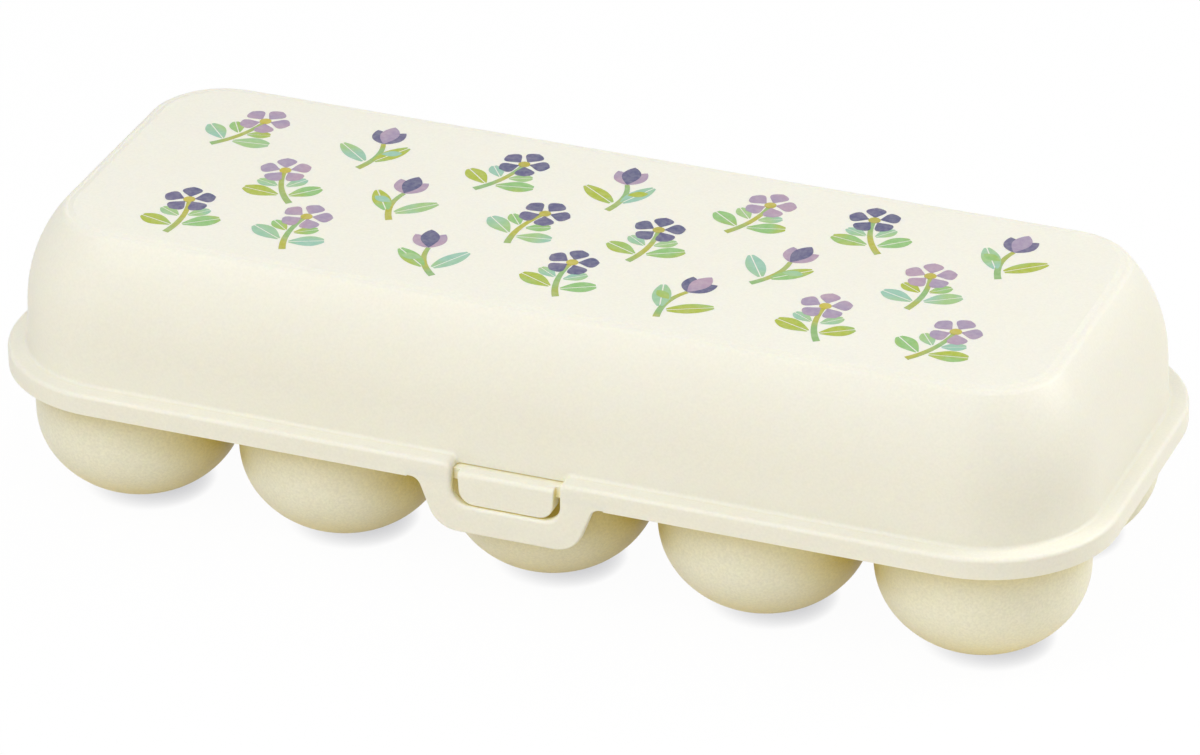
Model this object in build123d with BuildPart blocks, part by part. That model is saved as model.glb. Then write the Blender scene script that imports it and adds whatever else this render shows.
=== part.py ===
from build123d import *
from math import asin, atan, cos, degrees, hypot, radians, sin, sqrt, tan
import os

# Egg keeper with a flip lid, in millimetres.
# The tray is one moulding: a flat deck with ten round-bottomed cups hanging from it, a stiffening
# rim, a catch at the front and hinge lugs at the back. Its cups are kept as solids of their own,
# seated face to face under the deck. The lid is a second moulding that turns on the lugs' pins,
# and its latch tongue snaps under the catch.
# +Z is up, -Y is the front, and the origin is on the table under the middle of the whole keeper.

os.makedirs("parts", exist_ok=True)

# ---- Driving sizes --------------------------------------------------------------------------
length = 260.0           # over the lid's skirt
width = 106.0            # over the lid's skirt
height = 68.6            # closed, from the table to the top of the lid
corner = 30.0            # plan corner of the skirt
wall = 1.8               # moulded wall of the lid and the cups

cups_along = 5
cups_across = 2
end_room = 5.0           # from the last egg's space to the end of the skirt
side_room = 4.2          # from a row's space to the side of the skirt
cup_gap = 1.4            # least distance between two cups
bowl_height = 20.0       # upright half-axis of the bowl's elliptical side
cup_draft = 1.0          # degrees, on the cup's upright wall
foot_radius = 6.0        # small flat that each cup stands on

deck_thick = 2.0
hole_round = 1.4         # lead-in at the top of each egg hole
rim_drop = 2.6           # stiffening lip around the deck, measured from the deck's top
rim_thick = 1.2
rim_gap = 0.4            # from the rim to the inside of the lid's skirt
cup_clear = 0.1          # from a cup to the lip beside it
seat_gap = 0.2           # from the deck to the underside of the lid's ledge

ledge = 4.5              # shelf around the foot of the lid's wall
skirt_height = 4.9
wall_draft = 2.7         # degrees, lower part of the lid's wall
shoulder_radius = 36.0   # large round from the wall to the top
shoulder_turn = 41.0     # degrees from level, the way the shoulder faces where it meets the top
crease_round = 1.8       # small round along the top of the shoulder
panel_step = 0.3         # the flat top panel stands this proud
panel_slope = 1.2        # width of the soft slope at the panel's edge
panel_margin = 1.2       # from the shoulder's top corner to the foot of that slope
panel_round = 2.0        # top and foot of the slope
foot_round = 0.9         # inside corner between wall and ledge
foot_rise = 1.1          # upright start of the wall, above the ledge
skirt_round = 1.0        # outer top edge of the skirt, on down the window's edges and around it
edge_round = 0.5         # lower edge of the skirt and outer edges of the tongue

tongue_drop = 11.7       # below the skirt
tongue_arm = 3.4         # width beside the window, at the foot
tongue_flare = 21.0      # degrees, its sides lean outwards towards the skirt
tongue_corner = 7.0
tongue_blend = 2.5       # hollow round where it leaves the skirt
root_reach = 2.4         # the strip that joins it to the skirt runs on this far at each side
root_depth = 1.2
bar_height = 6.7         # solid bar below the window
window_width = 25.4
window_corner = 3.9
window_lip = 1.5         # round where the window runs out over the ledge

catch_side = 1.4         # from the catch to the sides of the window
catch_draft = 3.0        # degrees, on its sides
catch_corner = 3.6
catch_gap = 0.2          # above the tongue's bar
catch_setback = 0.5      # its face lies this far behind the skirt's
catch_lap = 0.3          # its back lies this far behind the face of the rim
catch_round = 1.1        # top front edge
catch_edge = 0.4         # its other front edges
cheek_width = 3.0        # returns behind the catch
cheek_depth = 1.6

hinge_spacing = 130.0    # between the two hinges
hinge_rise = 1.0         # from the deck's top to the hinge line
pin_radius = 1.5
pin_gap = 0.08           # running clearance in the knuckle
pin_grip = 0.5           # the knuckle's mouth is this much narrower than the pin
eye_wall = 1.4           # of knuckle and lug, outside the pin
eye_gap = 0.6            # from the eye to the skirt
knuckle_width = 9.0
lug_thick = 2.6
lug_gap = 0.3            # each side of the knuckle, and around the lug in the skirt
mouth_round = 0.4        # lead-in at the knuckle's mouth
swing_gap = 0.25         # from the rim to the swinging edge of the skirt

# ---- Sizes that follow ----------------------------------------------------------------------
pitch_along = (length - 2 * end_room) / cups_along       # from egg to egg
pitch_across = (width - 2 * side_room) / cups_across     # from row to row
cup_radius = (min(pitch_along, pitch_across) - cup_gap) / 2      # outside, where the bowl is widest

hinge_up = height / 2                           # so that the open lid lies level on the table
deck_top = hinge_up - hinge_rise
cup_top = deck_top - deck_thick
bowl_centre = bowl_height * sqrt(1 - (foot_radius / cup_radius) ** 2)

ledge_under = deck_top + seat_gap
ledge_top = ledge_under + wall
skirt_bottom = ledge_top - skirt_height

tongue_bottom = skirt_bottom - tongue_drop
window_bottom = tongue_bottom + bar_height
tongue_foot = window_width / 2 + tongue_arm      # half its width at the foot
tongue_head = tongue_foot + tongue_drop * tan(radians(tongue_flare))
root_half = tongue_head + root_reach
root_top = skirt_bottom + root_depth

eye_radius = pin_radius + eye_wall
hinge_out = width / 2 + eye_gap + eye_radius     # hinge line behind the middle of the tray
hinge_line = (hinge_out, hinge_up)
hinge_places = (-hinge_spacing / 2, hinge_spacing / 2)
lug_shift = (knuckle_width + lug_thick) / 2 + lug_gap
lug_places = [place + side * lug_shift for place in hinge_places for side in (-1, 1)]

# The rear edge of the rim keeps clear of the circle that the skirt's inner edge swings through.
swing = hypot(hinge_out - width / 2 + wall, hinge_up - skirt_bottom) + swing_gap
rim_front = width / 2 - wall - rim_gap
rim_rear = hinge_out - sqrt(swing**2 - (hinge_up - deck_top) ** 2)
rim_length = length - 2 * (wall + rim_gap)
rim_corner = corner - wall - rim_gap

catch_half = window_width / 2 - catch_side
catch_bottom = window_bottom + catch_gap
catch_face = width / 2 - catch_setback
catch_thick = catch_face - rim_front + catch_lap

# Planes through the middle of the tray, for plan, front and end views.
plan_y = -(hinge_out + eye_radius - width / 2) / 2
plan = Plane((0, plan_y, 0))
front = Plane((0, plan_y, 0), x_dir=(1, 0, 0), z_dir=(0, -1, 0))
end = Plane((0, plan_y, 0), x_dir=(0, 1, 0), z_dir=(1, 0, 0))


def save(piece, name):
    """Label a finished piece and write it as its own STEP file."""
    piece.part.label = name
    export_step(piece.part, f"parts/{name}.step")


def foremost_edges(piece):
    """Edges of the piece's flat face nearest the front."""
    return piece.faces().filter_by(Axis.Y).sort_by(Axis.Y)[0].edges()


# ---- Cups -----------------------------------------------------------------------------------
def bowl_section(radius, height, floor):
    """Half section of a bowl: floor, elliptical side, then a drafted wall up to the deck."""
    low = degrees(asin((floor - bowl_centre) / height))
    high = -degrees(atan(height / radius * tan(radians(cup_draft))))
    with BuildSketch() as section:
        with BuildLine():
            side = EllipticalCenterArc((0, bowl_centre), radius, height, start_angle=low, arc_size=high - low)
            rise = cup_top - (side @ 1).Y
            upright = Line(side @ 1, side @ 1 + Vector(rise * tan(radians(cup_draft)), rise))
            Polyline(upright @ 1, (0, cup_top), (0, floor), side @ 0)
        make_face()
    return section.sketch


bowl = bowl_section(cup_radius, bowl_height, 0)
hollow = bowl_section(cup_radius - wall, bowl_height - wall, wall)
cup_reach = bowl.bounding_box().max.X
hole_radius = hollow.bounding_box().max.X

cup_names = [f"egg_cup_{row}_{place}" for place in range(1, cups_along + 1) for row in ("front", "rear")]
cup_spots = [spot.position for spot in GridLocations(pitch_along, pitch_across, cups_along, cups_across)]

for cup_name, spot in zip(cup_names, cup_spots):
    stand = plan.from_local_coords(spot)
    with BuildPart() as egg_cup:
        with BuildSketch(Plane(stand, x_dir=(1, 0, 0), z_dir=(0, -1, 0))):
            add(bowl)
            add(hollow, mode=Mode.SUBTRACT)
        revolve(axis=Axis(stand, (0, 0, 1)))
    save(egg_cup, cup_name)


# ---- Tray deck ------------------------------------------------------------------------------
def rim_outline():
    """Plan of the deck: a rounded rectangle, a little further in along the rear."""
    with BuildSketch() as outline:
        with Locations((0, (rim_rear - rim_front) / 2)):
            RectangleRounded(rim_length, rim_front + rim_rear, rim_corner)
    return outline.sketch


def catch_outline():
    """Front view of the catch: a tab with rounded lower corners, slightly narrower below."""
    half = catch_half
    foot = half - (deck_top - catch_bottom) * tan(radians(catch_draft))
    low = catch_bottom
    with BuildSketch() as outline:
        with BuildLine():
            tab = FilletPolyline(
                (-half, deck_top), (-foot, low), (foot, low), (half, deck_top), radius=catch_corner
            )
            Line(tab @ 1, tab @ 0)
        make_face()
    return outline.sketch


with BuildPart() as tray_deck:
    with BuildSketch(plan.offset(cup_top)):
        add(rim_outline())
        with GridLocations(pitch_along, pitch_across, cups_along, cups_across):
            Circle(hole_radius, mode=Mode.SUBTRACT)
    extrude(amount=deck_thick)
    hole_edges = tray_deck.edges().filter_by(GeomType.CIRCLE)
    hole_edges = hole_edges.filter_by(lambda edge: abs(edge.radius - hole_radius) < 0.01)
    fillet(hole_edges.group_by(Axis.Z)[-1], radius=hole_round)

    # stiffening lip around the edge, let in where a cup stands close
    with BuildSketch(plan.offset(deck_top - rim_drop)):
        add(rim_outline())
        offset(amount=-rim_thick, mode=Mode.SUBTRACT)
        with GridLocations(pitch_along, pitch_across, cups_along, cups_across):
            Circle(cup_reach + cup_clear, mode=Mode.SUBTRACT)
    extrude(amount=rim_drop - deck_thick)

    # front catch: a tab turned down from the deck's edge, with a return behind each side
    with BuildSketch(front.offset(catch_face)):
        add(catch_outline())
    extrude(amount=-catch_thick)
    with BuildSketch(front.offset(catch_face - catch_thick)):
        add(catch_outline())
        Rectangle(2 * (catch_half - cheek_width), 3 * deck_top, mode=Mode.SUBTRACT)
    extrude(amount=-cheek_depth)
    fillet(foremost_edges(tray_deck).sort_by(Axis.Z)[-1], radius=catch_round)
    fillet(foremost_edges(tray_deck).sort_by(Axis.Z)[:-1], radius=catch_edge)

    # hinge lugs: arms that pass under the lid's ledge, joined in pairs by the hinge pins
    lug_foot = hinge_up - eye_radius
    lug_start = rim_rear - rim_thick
    for place in lug_places:
        with BuildSketch(end.offset(place - lug_thick / 2)):
            with Locations(hinge_line):
                Circle(eye_radius)
            with BuildLine():
                Polyline(
                    (lug_start, lug_foot),
                    (hinge_out, lug_foot),
                    (hinge_out, deck_top),
                    (lug_start, deck_top),
                    close=True,
                )
            make_face()
        extrude(amount=lug_thick)
    for place in hinge_places:
        with BuildSketch(end.offset(place - lug_shift)):
            with Locations(hinge_line):
                Circle(pin_radius)
        extrude(amount=2 * lug_shift)
save(tray_deck, "tray_deck")


# ---- Latch tongue ---------------------------------------------------------------------------
def window_outline():
    """Front view of the window, open at the top, where its sides round out over the ledge."""
    side = window_width / 2
    lead = side + window_lip
    lip_foot = ledge_top - window_lip
    over = ledge_top + foot_rise
    with BuildSketch() as outline:
        with BuildLine():
            JernArc((-lead, ledge_top), (1, 0), window_lip, -90)
            FilletPolyline(
                (-side, lip_foot),
                (-side, window_bottom),
                (side, window_bottom),
                (side, lip_foot),
                radius=window_corner,
            )
            JernArc((side, lip_foot), (0, 1), window_lip, -90)
            Polyline((lead, ledge_top), (lead, over), (-lead, over), (-lead, ledge_top))
        make_face()
    return outline.sketch


def tongue_outline():
    """Front view of the tongue and its root, without the window."""
    with BuildSketch() as outline:
        with BuildLine():
            edge = FilletPolyline(
                (-root_half, skirt_bottom),
                (-tongue_head, skirt_bottom),
                (-tongue_foot, tongue_bottom),
                (tongue_foot, tongue_bottom),
                (tongue_head, skirt_bottom),
                (root_half, skirt_bottom),
                radius=[tongue_blend, tongue_corner, tongue_corner, tongue_blend],
            )
            Polyline(edge @ 1, (root_half, root_top), (-root_half, root_top), edge @ 0)
        make_face()
    return outline.sketch


def at_window(edge):
    """True for a front edge of the tongue that runs round the window."""
    spot = edge @ 0.5
    return abs(spot.X) < tongue_foot - edge_round and spot.Z > window_bottom - edge_round


def at_outside(edge):
    """True for a front edge of the tongue that stays open once its root is in the skirt."""
    spot = edge @ 0.5
    return not at_window(edge) and abs(spot.X) < root_half - edge_round and spot.Z < root_top - edge_round


with BuildPart() as latch_tongue:
    with BuildSketch(front.offset(width / 2)):
        add(tongue_outline())
        add(window_outline(), mode=Mode.SUBTRACT)
    extrude(amount=-wall)
    fillet(foremost_edges(latch_tongue).filter_by(at_outside), radius=edge_round)
    fillet(foremost_edges(latch_tongue).filter_by(at_window), radius=skirt_round)
save(latch_tongue, "latch_tongue")


# ---- Lid ------------------------------------------------------------------------------------
# Section of the wall: x runs outwards from the foot of the wall, y is the height.
draft = radians(wall_draft)
turn = radians(shoulder_turn)
margin_top = height - panel_step
ceiling = margin_top - wall
shoulder_foot = margin_top - shoulder_radius * (sin(turn) - sin(draft))
centre = Vector(
    -(shoulder_foot - ledge_top - foot_rise) * tan(draft) - shoulder_radius * cos(draft),
    shoulder_foot - shoulder_radius * sin(draft),
)
crease = centre + Vector(shoulder_radius * cos(turn), shoulder_radius * sin(turn))
panel_edge = crease.X - panel_margin
panel_core = panel_edge - 2 * panel_margin      # from here inwards the top is a flat plate
inner_radius = shoulder_radius - wall
inner_turn = degrees(asin((ceiling - centre.Y) / inner_radius))
inner_foot = centre + Vector(inner_radius * cos(draft), inner_radius * sin(draft))
inner_foot_x = inner_foot.X + (inner_foot.Y - ledge_under) * tan(draft)

wall_length = length - 2 * ledge
wall_width = width - 2 * ledge
wall_corner = corner - ledge
rear = Plane((0, plan_y + wall_width / 2, 0), x_dir=(0, 1, 0), z_dir=(1, 0, 0))

with BuildSketch(rear) as wall_section:
    with BuildLine():
        Line((ledge, skirt_bottom), (ledge, ledge_top))
        skin = FilletPolyline(
            (ledge, ledge_top), (0, ledge_top), (0, ledge_top + foot_rise), radius=foot_round
        )
        outer = CenterArc(centre, shoulder_radius, wall_draft, shoulder_turn - wall_draft)
        Line(skin @ 1, outer @ 0)
        inner = CenterArc(centre, inner_radius, inner_turn, wall_draft - inner_turn)
        Polyline(
            outer @ 1,
            (panel_edge, margin_top),
            (panel_edge - panel_slope, height),
            (panel_core, height),
            (panel_core, ceiling),
            inner @ 0,
        )
        Polyline(
            inner @ 1,
            (inner_foot_x, ledge_under),
            (ledge - wall, ledge_under),
            (ledge - wall, skirt_bottom),
            (ledge, skirt_bottom),
        )
    make_face()
    corners = wall_section.vertices()
    fillet(corners.sort_by_distance(crease)[0], radius=crease_round)
    fillet(corners.sort_by_distance((panel_edge, margin_top))[0], radius=panel_round)
    fillet(corners.sort_by_distance((panel_edge - panel_slope, height))[0], radius=panel_round)
    fillet(corners.sort_by_distance((ledge, skirt_bottom))[0], radius=edge_round)

with BuildPart() as lid:
    # the section goes once round the foot of the wall, and a flat plate closes the top
    with BuildLine(plan) as wall_foot:
        path = Line((0, wall_width / 2), (wall_length / 2 - wall_corner, wall_width / 2))
        for run in (
            wall_width - 2 * wall_corner,
            wall_length - 2 * wall_corner,
            wall_width - 2 * wall_corner,
            wall_length / 2 - wall_corner,
        ):
            bend = JernArc(path @ 1, path % 1, wall_corner, -90)
            path = Line(bend @ 1, bend @ 1 + (bend % 1) * run)
    sweep(wall_section.sketch, path=wall_foot.wire())
    with BuildSketch(plan.offset(ceiling)):
        RectangleRounded(
            wall_length + 2 * panel_core, wall_width + 2 * panel_core, wall_corner + panel_core
        )
    extrude(amount=height - ceiling)

    # window over the catch; the round at the foot of the wall runs on down the window's sides
    with BuildPart(mode=Mode.SUBTRACT) as opening:
        with BuildSketch(front.offset(width / 2)):
            add(window_outline())
        extrude(amount=-ledge)
        back_edges = opening.faces().filter_by(Axis.Y).sort_by(Axis.Y)[-1].edges()
        fillet(back_edges.filter_by(lambda edge: (edge @ 0.5).Z < ledge_top), radius=foot_round)

    # strip that the tongue's root takes out of the skirt
    with BuildSketch(front.offset(width / 2)):
        with Locations((0, skirt_bottom)):
            Rectangle(2 * root_half, 2 * root_depth)
    extrude(amount=-ledge, mode=Mode.SUBTRACT)

    # the round down the window's side runs on over the lip, and so along the top of the skirt
    window_sides = foremost_edges(lid).filter_by(Axis.Z)
    fillet(window_sides.sort_by(lambda edge: abs(edge.center().X))[0], radius=skirt_round)

    # notches that let the tray's lugs through the skirt
    for place in lug_places:
        with BuildSketch(end.offset(place - lug_thick / 2 - lug_gap)):
            with Locations((width / 2, skirt_bottom)):
                Rectangle(2 * ledge - 2 * wall, 2 * (ledge_under - skirt_bottom))
        extrude(amount=lug_thick + 2 * lug_gap, mode=Mode.SUBTRACT)

    # knuckles that snap over the hinge pins, each open to the rear
    mouth_side = (Align.MIN, Align.CENTER)
    for place in hinge_places:
        with BuildSketch(end.offset(place - knuckle_width / 2)) as knuckle:
            with Locations(hinge_line):
                Circle(eye_radius)
            with BuildLine():
                Polyline(
                    (width / 2 - wall, ledge_under),
                    (hinge_out, hinge_up - eye_radius),
                    (hinge_out, hinge_up + eye_radius),
                    (width / 2 - wall, ledge_top),
                    close=True,
                )
            make_face()
            with Locations(hinge_line):
                Circle(pin_radius + pin_gap, mode=Mode.SUBTRACT)
                Rectangle(2 * eye_radius, 2 * pin_radius - pin_grip, align=mouth_side, mode=Mode.SUBTRACT)
            fillet(knuckle.vertices().sort_by(Axis.X)[-2:], radius=mouth_round)
        extrude(amount=knuckle_width)
save(lid, "lid")
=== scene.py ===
import math

import bmesh
import bpy
from mathutils import Matrix, Vector


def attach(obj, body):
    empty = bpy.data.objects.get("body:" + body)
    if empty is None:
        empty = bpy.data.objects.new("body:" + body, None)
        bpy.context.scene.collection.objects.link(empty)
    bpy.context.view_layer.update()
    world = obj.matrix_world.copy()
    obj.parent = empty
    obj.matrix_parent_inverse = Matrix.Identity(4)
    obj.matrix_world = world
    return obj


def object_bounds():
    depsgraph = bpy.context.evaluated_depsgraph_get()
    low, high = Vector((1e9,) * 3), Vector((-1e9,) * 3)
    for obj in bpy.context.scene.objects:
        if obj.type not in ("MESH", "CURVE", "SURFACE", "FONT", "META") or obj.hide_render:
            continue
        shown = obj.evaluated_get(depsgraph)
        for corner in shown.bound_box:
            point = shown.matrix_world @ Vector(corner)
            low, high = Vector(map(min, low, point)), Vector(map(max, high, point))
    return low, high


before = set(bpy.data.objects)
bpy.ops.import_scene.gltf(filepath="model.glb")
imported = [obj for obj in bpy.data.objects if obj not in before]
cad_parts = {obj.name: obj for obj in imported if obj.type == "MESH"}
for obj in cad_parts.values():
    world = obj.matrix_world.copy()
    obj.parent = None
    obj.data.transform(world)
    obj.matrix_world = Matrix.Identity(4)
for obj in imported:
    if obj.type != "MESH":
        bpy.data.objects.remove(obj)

cad_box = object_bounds()
mm = 0.001


# ---- Egg cups --------------------------------------------------------------------------------
# The ten cups are hollows of the tray, one injection moulding in ivory polypropylene. It comes
# off a finely spark-eroded tool, so it is satin, with no gloss and no paint.

def linear(colour):
    """sRGB hex, such as "#F3F1E2", to the linear colour that a shader takes."""
    shares = [int(colour[i:i + 2], 16) / 255 for i in (1, 3, 5)]
    return [s / 12.92 if s <= 0.04045 else ((s + 0.055) / 1.055) ** 2.4 for s in shares] + [1.0]


def add_node(material, kind, inputs, **settings):
    """Adds a node. Each input takes a value or another node's output."""
    node = material.node_tree.nodes.new(kind)
    for name, value in settings.items():
        setattr(node, name, value)
    for key, value in inputs.items():
        if isinstance(value, bpy.types.NodeSocket):
            material.node_tree.links.new(value, node.inputs[key])
        else:
            node.inputs[key].default_value = value
    return node


def new_material(name):
    """An empty node material."""
    material = bpy.data.materials.new(name)
    material.use_nodes = True
    material.node_tree.nodes.clear()
    return material


cloud_size = 28 * mm        # slow drift of shade where the melt filled the tool
grain_size = 0.6 * mm       # the real spark-eroded grit is about 0.1 mm, too fine to show here
grain_height = 0.02 * mm
satin = (0.40, 0.48)        # roughness, from the grain's pits to its peaks
noise_span = (0.3, 0.7)     # nearly all that a noise gives lies between these
# The painted shade below is judged from an openness that looks a little upwards.
look_up = 0.5               # most light comes from above, so openness is judged a little upwards
soak_share = 0.3            # of the light goes into the plastic and comes out close by
soak_reach = 1.0 * mm
soak_tint = (1.0, 0.75, 0.3)    # of that reach, in red, green and blue


def moulded_polypropylene(name, light, deep, pit_shade, painted_gap_colour, reach, shut, clear):
    """Satin moulded polypropylene: waxy, a little translucent, with a fine eroded grain.

    The light and the deep ivory drift into each other. The grain's relief is also painted into
    the colour as painted shade: its pits a touch darker and its peaks a touch lighter, by the
    share that the caller gives, either way.
    Where something stands over a wall, or close before it, within the reach, the colour is painted
    towards the gap's deeper, warmer colour: painted shade, and a painted warm glow, standing in for
    the light that goes to and fro between the parts and through them. Shut and clear are the open
    shares of sky at which that painted colour is full and gone.
    """
    material = new_material(name)
    place = add_node(material, "ShaderNodeTexCoord", {}).outputs["Object"]
    cloud = add_node(material, "ShaderNodeTexNoise", {
        "Vector": place, "Scale": 1 / cloud_size, "Detail": 2.0,
    })
    grain = add_node(material, "ShaderNodeTexNoise", {
        "Vector": place, "Scale": 1 / grain_size, "Detail": 3.0,
    })
    shade = add_node(material, "ShaderNodeMix", {
        0: cloud.outputs["Fac"], 6: linear(light), 7: linear(deep),
    }, data_type="RGBA")
    facing = add_node(material, "ShaderNodeNewGeometry", {}).outputs["Normal"]
    raised = add_node(material, "ShaderNodeVectorMath", {0: facing, 1: (0, 0, look_up)}, operation="ADD")
    unit = add_node(material, "ShaderNodeVectorMath", {0: raised.outputs[0]}, operation="NORMALIZE")
    # Painted shade and glow: where the sky is shut in, the colour is painted towards the gap colour.
    painted_shade_ao = add_node(material, "ShaderNodeAmbientOcclusion", {
        "Distance": reach, "Normal": unit.outputs[0],
    }, samples=8)
    painted_shade_mask = add_node(material, "ShaderNodeMapRange", {
        "Value": painted_shade_ao.outputs["AO"], "From Min": shut, "From Max": clear,
    })
    colour = add_node(material, "ShaderNodeMix", {
        0: painted_shade_mask.outputs[0], 6: linear(painted_gap_colour), 7: shade.outputs[2],
    }, data_type="RGBA")
    # Painted shade of the grain: its pits darker and its peaks lighter than the colour.
    pit_shade_scale = add_node(material, "ShaderNodeMapRange", {
        "Value": grain.outputs["Fac"], "From Min": noise_span[0], "From Max": noise_span[1],
        "To Min": 1 - pit_shade, "To Max": 1 + pit_shade,
    })
    pit_shaded = add_node(material, "ShaderNodeVectorMath", {
        0: colour.outputs[2], "Scale": pit_shade_scale.outputs[0],
    }, operation="SCALE")
    rough = add_node(material, "ShaderNodeMapRange", {
        "Value": grain.outputs["Fac"], "From Min": noise_span[0], "From Max": noise_span[1],
        "To Min": satin[0], "To Max": satin[1],
    })
    bump = add_node(material, "ShaderNodeBump", {
        "Height": grain.outputs["Fac"], "Strength": 0.8, "Distance": grain_height,
    })
    shader = add_node(material, "ShaderNodeBsdfPrincipled", {
        "Base Color": pit_shaded.outputs[0],
        "Roughness": rough.outputs[0],
        "Normal": bump.outputs[0],
        "IOR": 1.49,
        "Subsurface Weight": soak_share,
        "Subsurface Radius": soak_tint,
        "Subsurface Scale": soak_reach,
    })
    add_node(material, "ShaderNodeOutputMaterial", {"Surface": shader.outputs[0]})
    return material


# The cups bend round and stand close together, so their painted shade, under the skirt and
# between them, reaches far and goes deep, and their grain takes more painted shade.
cup_plastic = moulded_polypropylene(
    "moulded ivory polypropylene, cups",
    light="#F1EFDC", deep="#EFECD7", pit_shade=0.058,
    painted_gap_colour="#D7C14D", reach=22 * mm, shut=0.17, clear=0.83,
)
for name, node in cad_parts.items():
    if name.startswith("egg_cup"):
        node.material_slots[0].material = cup_plastic


# ---- Deck, lid and latch tongue ----------------------------------------------------------------
# The deck is the flat top of the tray's moulding, with its rim, its catch and the hinge lugs. The
# lid and its springy latch tongue are the second moulding, in the same ivory polypropylene; it
# snaps on the tray's two hinge pins.

# The walls are smooth and open, so only seams and narrow gaps take the painted gap colour, a
# warm yellow painted glow and shade, and the grain takes only a little painted shade.
shell_plastic = moulded_polypropylene(
    "moulded ivory polypropylene, shell",
    light="#F2F0E3", deep="#F0EDDF", pit_shade=0.022,
    painted_gap_colour="#FAEC90", reach=3 * mm, shut=0.05, clear=0.70,
)
for name in ("tray_deck", "lid", "latch_tongue"):
    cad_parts[name].material_slots[0].material = shell_plastic


# ---- Print on the lid --------------------------------------------------------------------------
# A heat-transfer print on the flat top: sprigs in six water-based inks, laid down colour by colour.
# Each ink is a satin film that lies a few hundredths of a millimetre proud of the plastic.
# The artwork's sizes are in mm and its angles in degrees.

lid_top = cad_box[1].z / mm         # the flat panel that takes the print
print_middle = -3.2                 # the print's middle, in y
sunk = 0.03                         # of each film in the panel
film = 0.02                         # of a sprig's first stroke above the panel
lap = 0.004                         # of each later stroke above the one before


def ribbon(points, start_width, end_width):
    """Outline of a curved stroke along a quadratic curve through three points."""
    a, b, c = (Vector(p) for p in points)
    left, right = [], []
    steps = 12
    for i in range(steps + 1):
        t = i / steps
        here = a * (1 - t) ** 2 + b * 2 * t * (1 - t) + c * t ** 2
        way = (b - a) * (1 - t) + (c - b) * t
        side = Vector((-way.y, way.x)).normalized() * (start_width * (1 - t) + end_width * t) / 2
        left.append(here + side)
        right.append(here - side)
    return left + right[::-1]


def blade(base, angle, length, width, belly=0.5, slit=0.0):
    """Outlines of a pointed leaf or petal: one shape, or two halves beside a slit.

    Belly is where along its length it is widest, and slit is half the width of the bare vein.
    """
    along = Vector((math.cos(math.radians(angle)), math.sin(math.radians(angle))))
    aside = Vector((-along.y, along.x))
    steps = 14
    roundness = 0.8
    rims = []
    for side in (1, -1):
        rim = []
        for i in range(steps + 1):
            t = i / steps
            swell = math.sin(math.pi * t ** (math.log(0.5) / math.log(belly)))
            reach_out = width / 2 * swell ** roundness if swell > 0 else 0
            rim.append((t * length, side * max(reach_out, slit if 0 < i < steps else 0)))
        rims.append(rim)
    if slit:
        shapes = []
        for side, rim in zip((1, -1), rims):
            shapes.append([p for p in rim if abs(p[1]) > slit])
            shapes[-1] += [(shapes[-1][-1][0], side * slit), (shapes[-1][0][0], side * slit)]
    else:
        shapes = [rims[0] + rims[1][-2:0:-1]]
    return [[Vector(base) + along * x + aside * y for x, y in shape] for shape in shapes]


def disc(middle, radius):
    """Outline of a round dab."""
    corners = 20
    turns = [2 * math.pi * i / corners for i in range(corners)]
    return [Vector(middle) + Vector((math.cos(a), math.sin(a))) * radius for a in turns]


def inked(ink, *blades):
    """The shapes of some blades, each with the ink that prints it."""
    return [(ink, shape) for blade_sizes in blades for shape in blade(*blade_sizes)]


leaf_vein = 0.15            # half the width of a low leaf's bare vein
shoot_vein = 0.13           # and of an upper leaf's
petal_turn = 72             # from one petal to the next


def blossom_sprig(leaf_ink, low_ink, petal_ink):
    """An open five-petalled flower on a bent stem, with two pairs of leaves."""
    head = Vector((0.6, 5.4))
    heart_radius = 1.35
    petal_start = 1.1
    shapes = [("stems", ribbon([(-1.8, -10.6), (2.0, -3.4), head], 1.6, 1.0))]
    shapes += inked(
        low_ink,
        ((-0.8, -7.2), 152, 9.2, 4.6, 0.58, leaf_vein),
        ((0.6, -6.8), 24, 10.0, 4.8, 0.58, leaf_vein),
    )
    shapes += inked(
        leaf_ink,
        ((-0.1, -2.8), 140, 6.4, 3.4, 0.58, shoot_vein),
        ((1.4, -2.4), 34, 6.2, 3.3, 0.58, shoot_vein),
    )
    for angle in range(90, 90 + 5 * petal_turn, petal_turn):
        way_out = Vector((math.cos(math.radians(angle)), math.sin(math.radians(angle))))
        shapes += inked(petal_ink, (head + way_out * petal_start, angle, 4.9, 4.5, 0.64))
    return shapes + [("centres", disc(head, heart_radius))]


def bud_sprig(leaf_ink, low_ink, petal_ink):
    """A closed bud between two tall leaves, with a small shoot below."""
    other = "lilac" if petal_ink == "violet" else "violet"
    foot = Vector((-0.2, 2.4))
    shapes = [("stems", ribbon([(1.6, -10.6), (-2.2, -4.0), foot], 1.6, 1.1))]
    shapes += inked(low_ink, ((-0.4, -7.0), 124, 11.6, 4.2, 0.5, leaf_vein))
    shapes += inked(
        leaf_ink,
        ((0.8, -7.4), 44, 12.0, 4.3, 0.5, leaf_vein),
        ((-1.3, -2.6), 160, 4.8, 2.6, 0.55),
    )
    shapes += inked(petal_ink, (foot, 118, 7.2, 3.9, 0.5), (foot, 62, 7.2, 3.9, 0.5))
    return shapes + inked(other, (foot, 90, 8.6, 4.3, 0.55))


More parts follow.
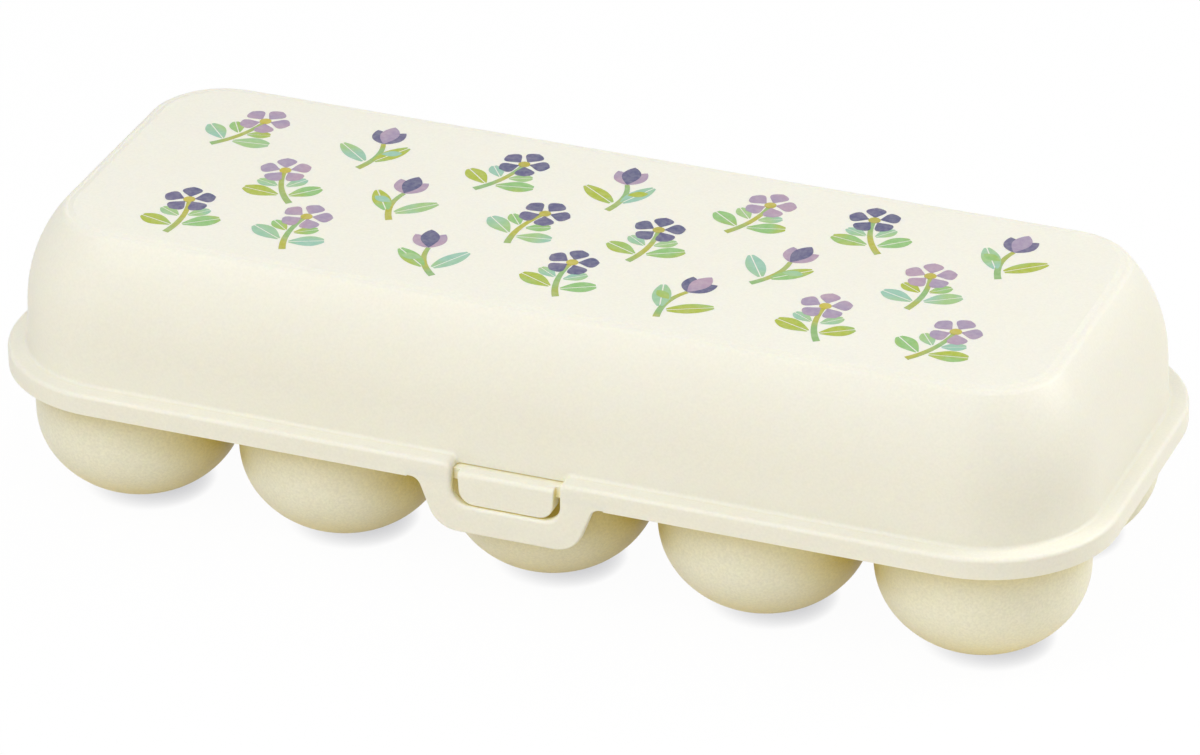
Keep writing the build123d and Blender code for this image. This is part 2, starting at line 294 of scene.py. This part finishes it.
# Three staggered rows. Every other sprig is mirrored, and each leans and drifts a little.
row_pitch = 21.0
sprig_pitch = 30.0
lean_step = 4.5
drift_in_row = 0.9
drift_off_row = 0.35
inks = {"stems": [], "mint": [], "lime": [], "lilac": [], "violet": [], "centres": []}
for row, count in enumerate((7, 6, 7)):
    for column in range(count):
        order = row * 7 + column
        lean = math.radians((order * 5 % 9 - 4) * lean_step)
        flip = -1 if order % 2 else 1
        middle = Vector((
            (column - (count - 1) / 2) * sprig_pitch + (order * 7 % 5 - 2) * drift_in_row,
            print_middle + (1 - row) * row_pitch + (order * 4 % 7 - 3) * drift_off_row,
        ))
        colours = ("mint", "lime") if order % 3 else ("lime", "mint")
        petals = "violet" if order % 4 in (1, 2) else "lilac"
        sprig = (bud_sprig if order % 5 in (1, 3) else blossom_sprig)(*colours, petals)
        for laps, (ink, outline) in enumerate(sprig):
            inks[ink].append((lid_top + film + laps * lap, [
                middle + Vector((
                    p.x * flip * math.cos(lean) - p.y * math.sin(lean),
                    p.x * flip * math.sin(lean) + p.y * math.cos(lean),
                )) for p in outline
            ]))


wash_size = 11 * mm         # one tone of a wash gives way to the next over about a leaf
wash_edge = (0.42, 0.60)    # of the noise, from all of one tone to all of the other
speck_size = 1.1 * mm       # the real ink's dots are about 0.1 mm, too fine to show here
dot_span = (0.35, 0.75)     # of the noise, from full ink to the barest spots
bare_share = 0.13           # of the ivory that shows in those spots
bare_ivory = "#F1EEDD"


def printed_ink(name, tone, second):
    """Satin printed ink: brushed artwork whose two tones run into each other."""
    material = new_material(name)
    place = add_node(material, "ShaderNodeTexCoord", {}).outputs["Object"]
    run = add_node(material, "ShaderNodeTexNoise", {
        "Vector": place, "Scale": 1 / wash_size, "Detail": 1.0,
    })
    mix = add_node(material, "ShaderNodeMapRange", {
        "Value": run.outputs["Fac"], "From Min": wash_edge[0], "From Max": wash_edge[1],
    })
    wash = add_node(material, "ShaderNodeMix", {
        0: mix.outputs[0], 6: linear(tone), 7: linear(second),
    }, data_type="RGBA")
    speck = add_node(material, "ShaderNodeTexNoise", {
        "Vector": place, "Scale": 1 / speck_size, "Detail": 2.0,
    })
    thin = add_node(material, "ShaderNodeMapRange", {
        "Value": speck.outputs["Fac"], "From Min": dot_span[0], "From Max": dot_span[1],
        "To Max": bare_share,
    })
    colour = add_node(material, "ShaderNodeMix", {
        0: thin.outputs[0], 6: wash.outputs[2], 7: linear(bare_ivory),
    }, data_type="RGBA")
    bump = add_node(material, "ShaderNodeBump", {
        "Height": speck.outputs["Fac"], "Strength": 0.2, "Distance": grain_height,
    })
    shader = add_node(material, "ShaderNodeBsdfPrincipled", {
        "Base Color": colour.outputs[2], "Roughness": 0.42, "IOR": 1.48, "Normal": bump.outputs[0],
    })
    add_node(material, "ShaderNodeOutputMaterial", {"Surface": shader.outputs[0]})
    return material


for piece, ink, tone, second in (
    ("print_stems", "stems", "#86B06A", "#AFAE2C"),
    ("print_leaves_mint", "mint", "#8FBFA8", "#9AC07A"),
    ("print_leaves_lime", "lime", "#A6B41E", "#87BA6C"),
    ("print_petals_lilac", "lilac", "#AE92A8", "#9D8BA8"),
    ("print_petals_violet", "violet", "#474974", "#5C567E"),
    ("print_centres", "centres", "#ADA422", "#C2B432"),
):
    strokes = bmesh.new()
    for height, outline in inks[ink]:
        if sum(a.cross(b) for a, b in zip(outline, outline[1:] + outline[:1])) < 0:
            outline = outline[::-1]
        low = [strokes.verts.new((p.x * mm, p.y * mm, (lid_top - sunk) * mm)) for p in outline]
        high = [strokes.verts.new((p.x * mm, p.y * mm, height * mm)) for p in outline]
        strokes.faces.new(high)
        strokes.faces.new(low[::-1])
        for i in range(len(outline)):
            j = (i + 1) % len(outline)
            strokes.faces.new((low[i], low[j], high[j], high[i]))
    mesh = bpy.data.meshes.new(piece)
    strokes.to_mesh(mesh)
    strokes.free()
    mesh.materials.append(printed_ink(f"heat-transfer ink, {ink}", tone, second))
    layer = bpy.data.objects.new(piece, mesh)
    bpy.context.scene.collection.objects.link(layer)
    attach(layer, "lid")


# ---- Sheet and light tent ----------------------------------------------------------------------
# A seamless white paper sheet under a light tent of white cloth. The sheet glows white to the
# rays that see it, and shows a trace of its real shadow and a painted shadow close by the cups.

def seen_rays(material):
    """1 for rays that show the sheet or the tent: the camera's, mirrored or passed through."""
    path = add_node(material, "ShaderNodeLightPath", {})
    total = path.outputs["Is Camera Ray"]
    for kind in ("Is Glossy Ray", "Is Transmission Ray"):
        added = add_node(material, "ShaderNodeMath", {0: total, 1: path.outputs[kind]}, use_clamp=True)
        total = added.outputs[0]
    return total


def grey(level):
    """A neutral linear colour."""
    return [level] * 3 + [1.0]


half = 3000 * mm
floor_mesh = bpy.data.meshes.new("floor")
floor_mesh.from_pydata(
    [(-half, -half, 0), (half, -half, 0), (half, half, 0), (-half, half, 0)], [], [(0, 1, 2, 3)]
)
floor = bpy.data.objects.new("floor", floor_mesh)
bpy.context.scene.collection.objects.link(floor)

shadow_share = 0.03                 # how much of the wide shadow the sheet shows
glow_level = 1 - shadow_share
painted_shadow_reach = 4.5 * mm
painted_shadow_span = (0.2, 0.85)          # open shares at which the contact shade is full and gone
painted_shadow_colour = (0.55, 0.55, 0.57)  # what it leaves of the sheet's white
# The painted shadow lies close by the cups, most on their right, so its mask looks to the left.
leftward = (-0.80, -0.32, 0.50)

paper = new_material("white paper sweep")
seen = seen_rays(paper)
matte = add_node(paper, "ShaderNodeBsdfDiffuse", {"Color": linear("#F6F1E3")})
left_side = add_node(paper, "ShaderNodeCombineXYZ", dict(zip("XYZ", leftward)))
# Painted shadow: close by the cups the sheet's glow is painted towards the shadow colour.
painted_shadow_ao = add_node(paper, "ShaderNodeAmbientOcclusion", {
    "Distance": painted_shadow_reach, "Normal": left_side.outputs[0],
}, samples=16)
painted_shadow_mask = add_node(paper, "ShaderNodeMapRange", {
    "Value": painted_shadow_ao.outputs["AO"], "From Min": painted_shadow_span[0], "From Max": painted_shadow_span[1],
})
glow_with_painted_shadow = add_node(paper, "ShaderNodeMix", {
    0: painted_shadow_mask.outputs[0],
    6: [share * glow_level for share in painted_shadow_colour] + [1.0],
    7: grey(glow_level),
}, data_type="RGBA")
lit = add_node(paper, "ShaderNodeBsdfDiffuse", {"Color": grey(shadow_share)})
glow = add_node(paper, "ShaderNodeEmission", {"Color": glow_with_painted_shadow.outputs[2]})
both = add_node(paper, "ShaderNodeAddShader", {0: lit.outputs[0], 1: glow.outputs[0]})
pick = add_node(paper, "ShaderNodeMixShader", {0: seen, 1: matte.outputs[0], 2: both.outputs[0]})
add_node(paper, "ShaderNodeOutputMaterial", {"Surface": pick.outputs[0]})
floor_mesh.materials.append(paper)

tent_level = 0.335
world = bpy.data.worlds.new("light tent")
bpy.context.scene.world = world
world.use_nodes = True
world.node_tree.nodes.clear()
level = add_node(world, "ShaderNodeMapRange", {"Value": seen_rays(world), "To Min": tent_level})
sky = add_node(world, "ShaderNodeBackground", {"Color": grey(1.0), "Strength": level.outputs[0]})
add_node(world, "ShaderNodeOutputWorld", {"Surface": sky.outputs[0]})


# ---- Lamps -------------------------------------------------------------------------------------
# Four square softboxes of the same size: a key from the front left, one from the back right, one
# above, and a low one that lightens the front. Places are in metres and powers in watts.

softbox_side = 0.8


def softbox(name, place, power):
    """A square lamp that faces the keeper."""
    lamp = bpy.data.lights.new(name, "AREA")
    lamp.size = softbox_side
    lamp.energy = power
    box = bpy.data.objects.new(name, lamp)
    box.location = place
    box.rotation_mode = "QUATERNION"
    box.rotation_quaternion = Vector(place).to_track_quat("Z", "Y")
    bpy.context.scene.collection.objects.link(box)


softbox("key_softbox", (-0.32, -0.84, 1.10), 7.45)
softbox("side_softbox", (1.05, 0.60, 0.85), 9.9)
softbox("top_softbox", (0.0, -0.15, 1.45), 3.2)
softbox("front_card", (-0.10, -1.30, 0.30), 1.85)


# ---- Camera ------------------------------------------------------------------------------------
# A long lens, well back, in front of the keeper and somewhat to its right, looking down on it.

turn = math.radians(21.65)
tilt = math.radians(28.55)
roll = math.radians(-0.51)
distance = 1576.7 * mm
target = Vector((1.56, -3.2, 32.46)) * mm
back = Vector((math.sin(turn) * math.cos(tilt), -math.cos(turn) * math.cos(tilt), math.sin(tilt)))
right = Vector((0, 0, 1)).cross(back).normalized()
up = back.cross(right)
across = right * math.cos(roll) + up * math.sin(roll)
upward = up * math.cos(roll) - right * math.sin(roll)
lens = bpy.data.cameras.new("camera")
lens.sensor_width = 36
lens.lens = 212.37
camera = bpy.data.objects.new("camera", lens)
axes = Matrix((across, upward, back)).transposed().to_4x4()
camera.matrix_world = Matrix.Translation(target + back * distance) @ axes
bpy.context.scene.collection.objects.link(camera)
bpy.context.scene.camera = camera
bpy.context.scene.view_settings.view_transform = "Standard"
